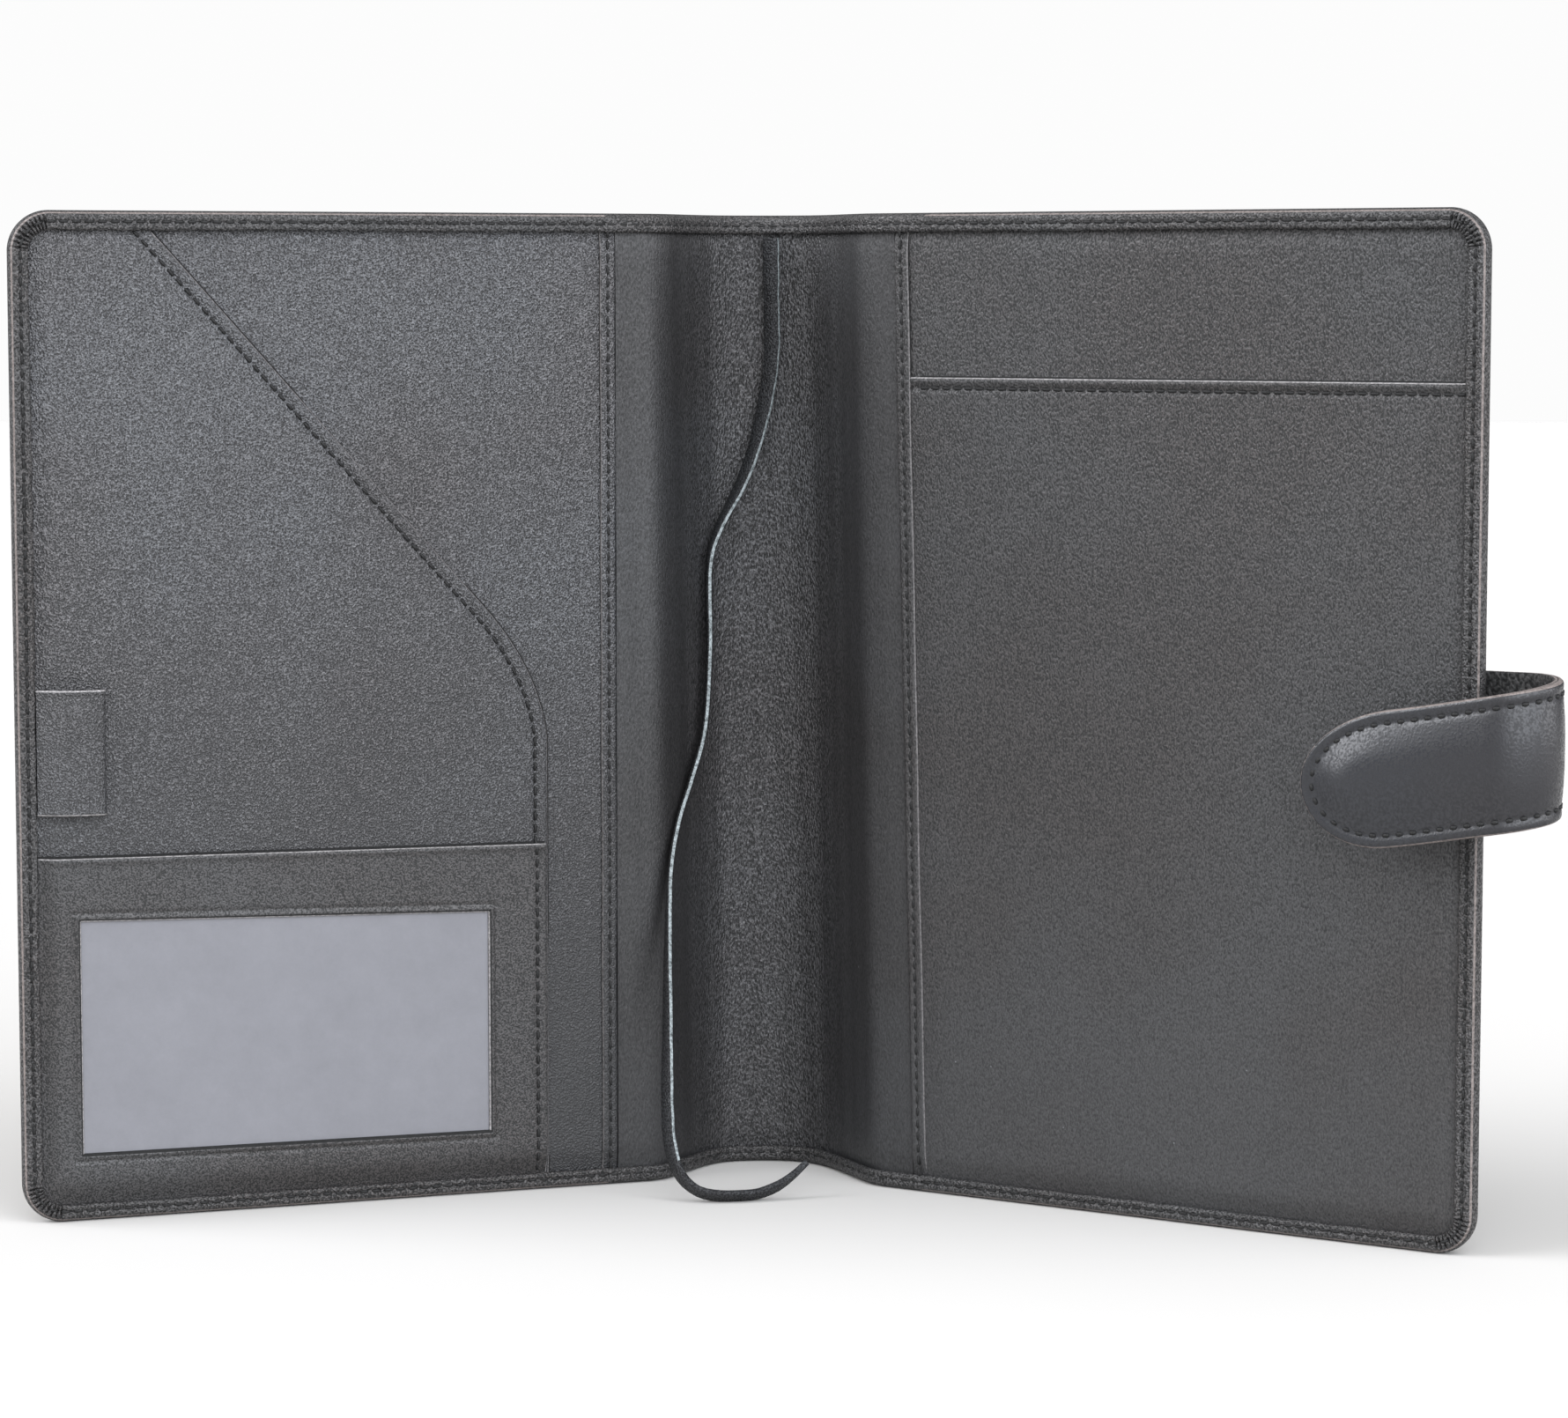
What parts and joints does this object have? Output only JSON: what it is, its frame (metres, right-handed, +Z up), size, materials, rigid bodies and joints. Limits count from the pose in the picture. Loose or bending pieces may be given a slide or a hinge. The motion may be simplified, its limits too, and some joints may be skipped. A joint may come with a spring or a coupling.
{
  "type": "notebook cover",
  "caption": "Open leather notebook cover with a curved spine, inside sleeves and pockets, a clear card window, a pen loop, a closing strap and a bookmark thong.",
  "frame": {"origin": "middle of the spine's lower edge, on the surface that the cover stands on", "axes": "+X across the open cover from the front cover to the back cover, -Y towards the inner side, +Z up along the spine"},
  "size_m": [0.3312, 0.1308, 0.222],
  "materials": {
    "outer_leather": "fine pebble grain, semi-matt black",
    "inner_leather": "fine grain, matt black",
    "strap_leather": "smooth, soft sheen, black",
    "thong_leather": "smooth black thong with pale cut edges",
    "board": "grey-brown fibreboard",
    "lining_cloth": "thin black backing cloth",
    "window_film": "frosted film, blue-grey over the dark pocket",
    "magnet_steel": "plated disc",
    "thread": "black bonded thread"
  },
  "bodies": {
    "spine": {"spine_leather": "outer_leather", "spine_reinforcement": "lining_cloth", "spine_lining": "inner_leather", "spine_foot_thread": "thread", "spine_head_thread": "thread", "bookmark_thong": "thong_leather"},
    "front_cover": {"front_cover_leather": "outer_leather", "front_cover_board": "board", "front_magnet_plate": "magnet_steel", "front_cover_lining": "lining_cloth", "front_sleeve": "inner_leather", "front_sleeve_binding": "inner_leather", "front_binding_thread": "thread", "diagonal_pocket": "inner_leather", "diagonal_pocket_thread": "thread", "card_pocket": "inner_leather", "card_pocket_thread": "thread", "card_window_film": "window_film", "pen_loop": "inner_leather", "front_border_thread": "thread"},
    "back_cover": {"back_cover_leather": "outer_leather", "back_cover_board": "board", "back_cover_lining": "lining_cloth", "back_sleeve": "inner_leather", "back_sleeve_binding": "inner_leather", "back_binding_thread": "thread", "back_document_pocket": "inner_leather", "back_pocket_thread": "thread", "back_border_thread": "thread", "strap_root_inner_ply": "strap_leather", "strap_root_outer_ply": "strap_leather", "strap_root_thread": "thread"},
    "strap": {"strap_inner_ply": "strap_leather", "strap_outer_ply": "strap_leather", "strap_padding": "lining_cloth", "strap_magnet": "magnet_steel", "strap_thread": "thread"}
  },
  "joints": [
    {"name": "front_cover_fold", "type": "hinge", "parent": "spine", "child": "front_cover", "pos_m": [-0.0278, -0.0243, 0], "axis": [0, 0, 1], "range_deg": [-19.3, 70.7]},
    {"name": "back_cover_fold", "type": "hinge", "parent": "spine", "child": "back_cover", "pos_m": [0.0283, -0.0309, 0], "axis": [0, 0, -1], "range_deg": [-31.3, 58.7]},
    {"name": "strap_fold", "type": "hinge", "parent": "back_cover", "child": "strap", "pos_m": [0.15411, -0.10212, 0], "axis": [0, 0, 1], "range_deg": [0, 150]}
  ]
}
